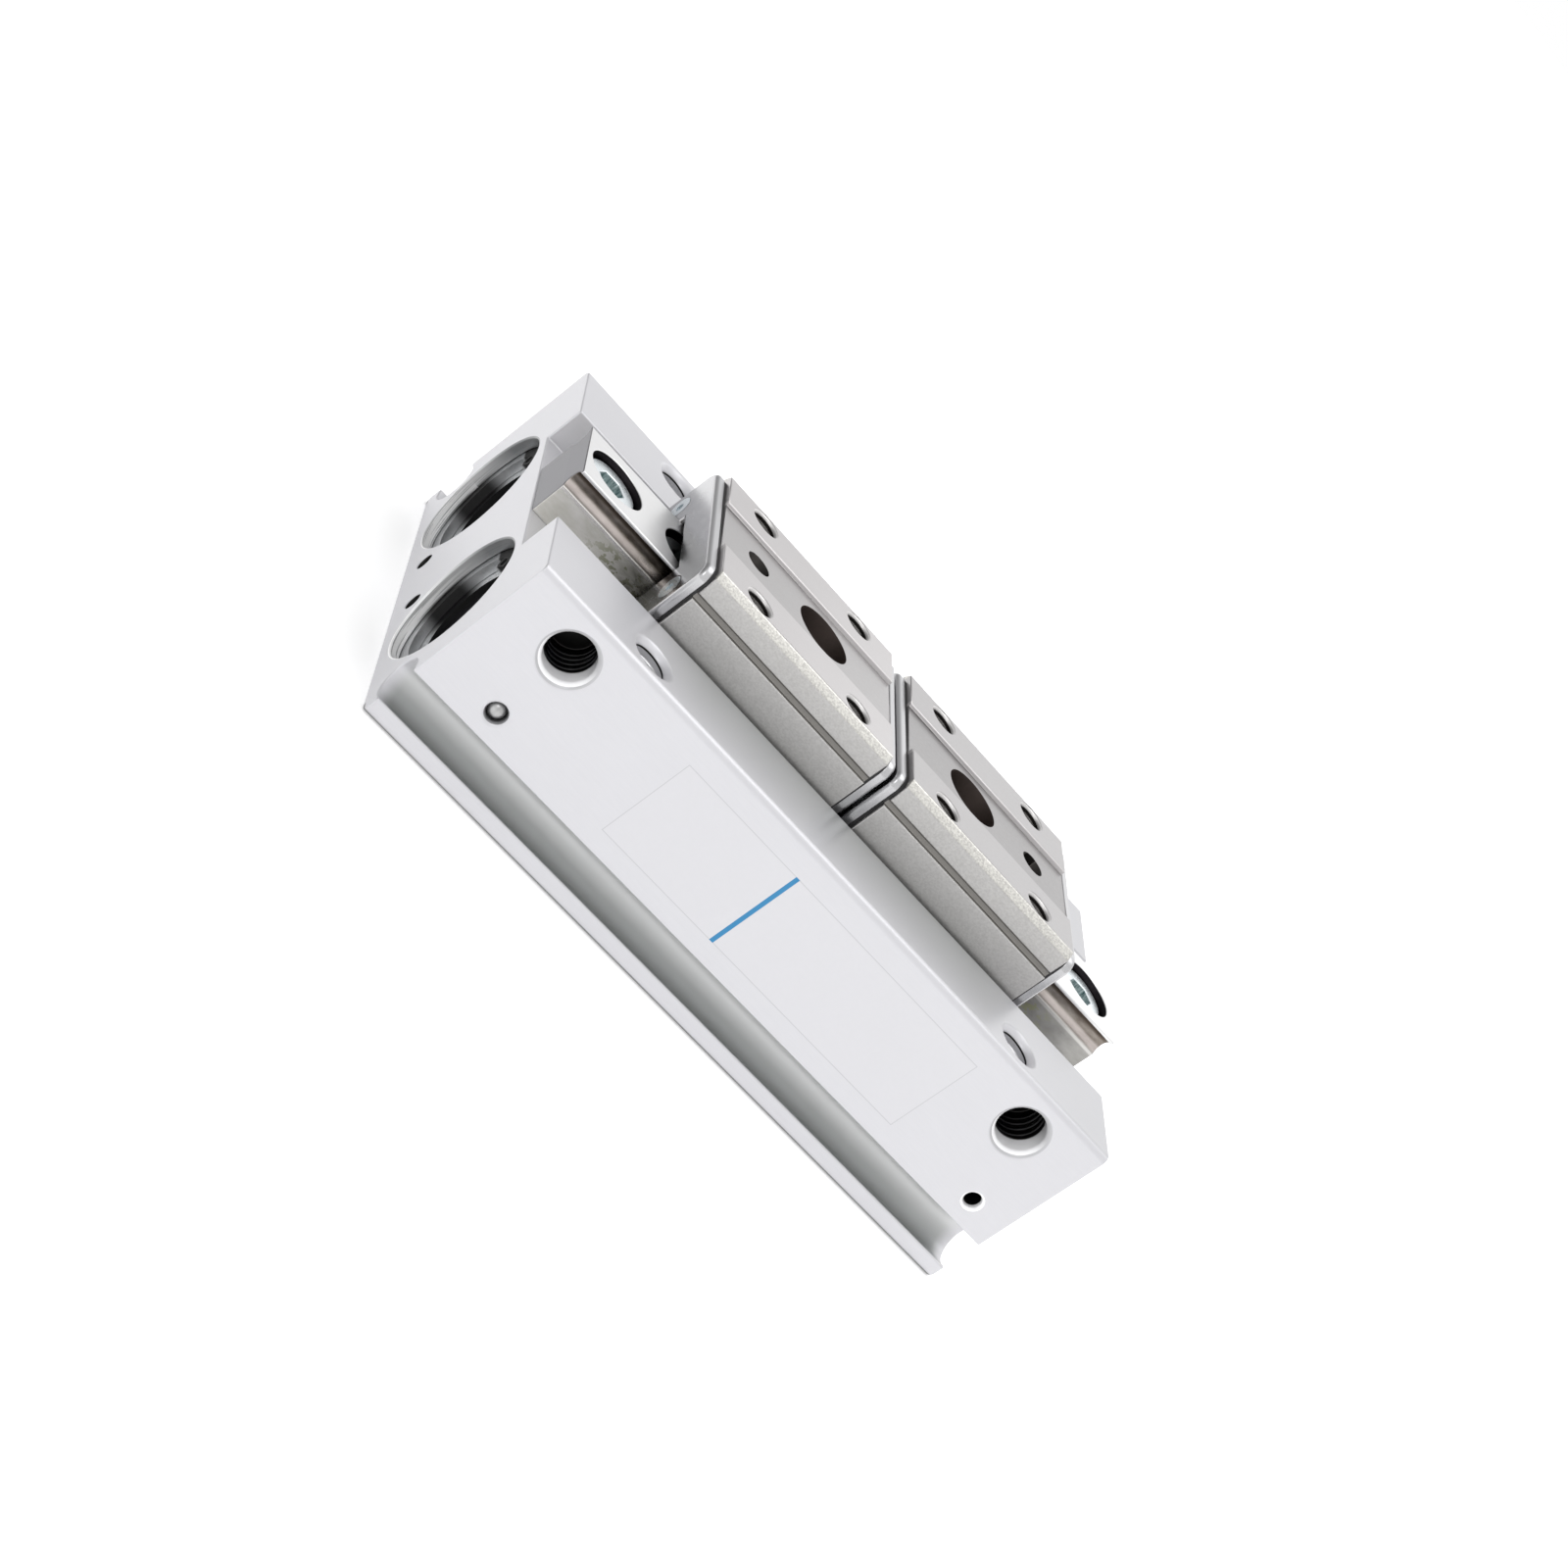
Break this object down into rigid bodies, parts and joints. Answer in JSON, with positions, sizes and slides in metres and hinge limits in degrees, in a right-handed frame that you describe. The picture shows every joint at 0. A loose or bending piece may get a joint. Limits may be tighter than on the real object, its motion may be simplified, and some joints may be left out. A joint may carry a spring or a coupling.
{
  "type": "parallel gripper",
  "caption": "Low-profile pneumatic gripper: two carriages on one guide rail, driven apart by twin rack pistons and a pinion.",
  "frame": {"origin": "centre of the body's underside", "axes": "+X along the body and the fingers' travel, +Z out of the fingers' tops, -Y out of the face with the air ports"},
  "size_m": [0.068, 0.0398, 0.025],
  "materials": {
    "anodised": "satin clear anodised",
    "label": "satin film",
    "rail_steel": "ground",
    "block_steel": "ground",
    "plate_steel": "pressed sheet",
    "screw_zinc": "bright zinc plated",
    "gear_steel": "machined",
    "ball_steel": "polished",
    "clip_steel": "blackened spring steel",
    "cap_aluminium": "turned",
    "piston_aluminium": "hard anodised",
    "seal_rubber": "matt",
    "magnet": "matt"
  },
  "bodies": {
    "housing": {"body": "anodised", "label": "label", "guide_rail": "rail_steel", "rail_screws": "screw_zinc", "pinion_pin": "gear_steel", "passage_ball": "ball_steel", "cap_rings": "seal_rubber", "caps_left": "cap_aluminium", "caps_right": "cap_aluminium", "clips_left": "clip_steel", "clips_right": "clip_steel"},
    "finger_left": {"finger_block_left": "block_steel", "end_plate_left_inner": "plate_steel", "end_plate_left_outer": "plate_steel", "end_seal_left_inner": "seal_rubber", "end_seal_left_outer": "seal_rubber", "plate_screws_left": "screw_zinc", "guide_balls_left": "ball_steel", "piston_left": "piston_aluminium", "piston_seals_left": "seal_rubber", "magnet_left": "magnet", "arm_left": "gear_steel"},
    "finger_right": {"finger_block_right": "block_steel", "end_plate_right_inner": "plate_steel", "end_plate_right_outer": "plate_steel", "end_seal_right_inner": "seal_rubber", "end_seal_right_outer": "seal_rubber", "plate_screws_right": "screw_zinc", "guide_balls_right": "ball_steel", "piston_right": "piston_aluminium", "piston_seals_right": "seal_rubber", "magnet_right": "magnet", "arm_right": "gear_steel"},
    "gear": {"pinion": "gear_steel"}
  },
  "joints": [
    {"name": "left_finger_slide", "type": "slide", "parent": "housing", "child": "finger_left", "axis": [-1, 0, 0], "range_m": [0, 0.012]},
    {"name": "right_finger_slide", "type": "slide", "parent": "housing", "child": "finger_right", "axis": [1, 0, 0], "range_m": [0, 0.012]},
    {"name": "pinion_turn", "type": "hinge", "parent": "housing", "child": "gear", "pos_m": [0, 0, 0.0077], "axis": [0, 0, 1], "range_deg": [0, 115]}
  ],
  "couplings": [
    {"joint": "right_finger_slide", "follows": "left_finger_slide", "ratio": 1},
    {"joint": "pinion_turn", "follows": "left_finger_slide", "rad_per_m": 166.67}
  ]
}
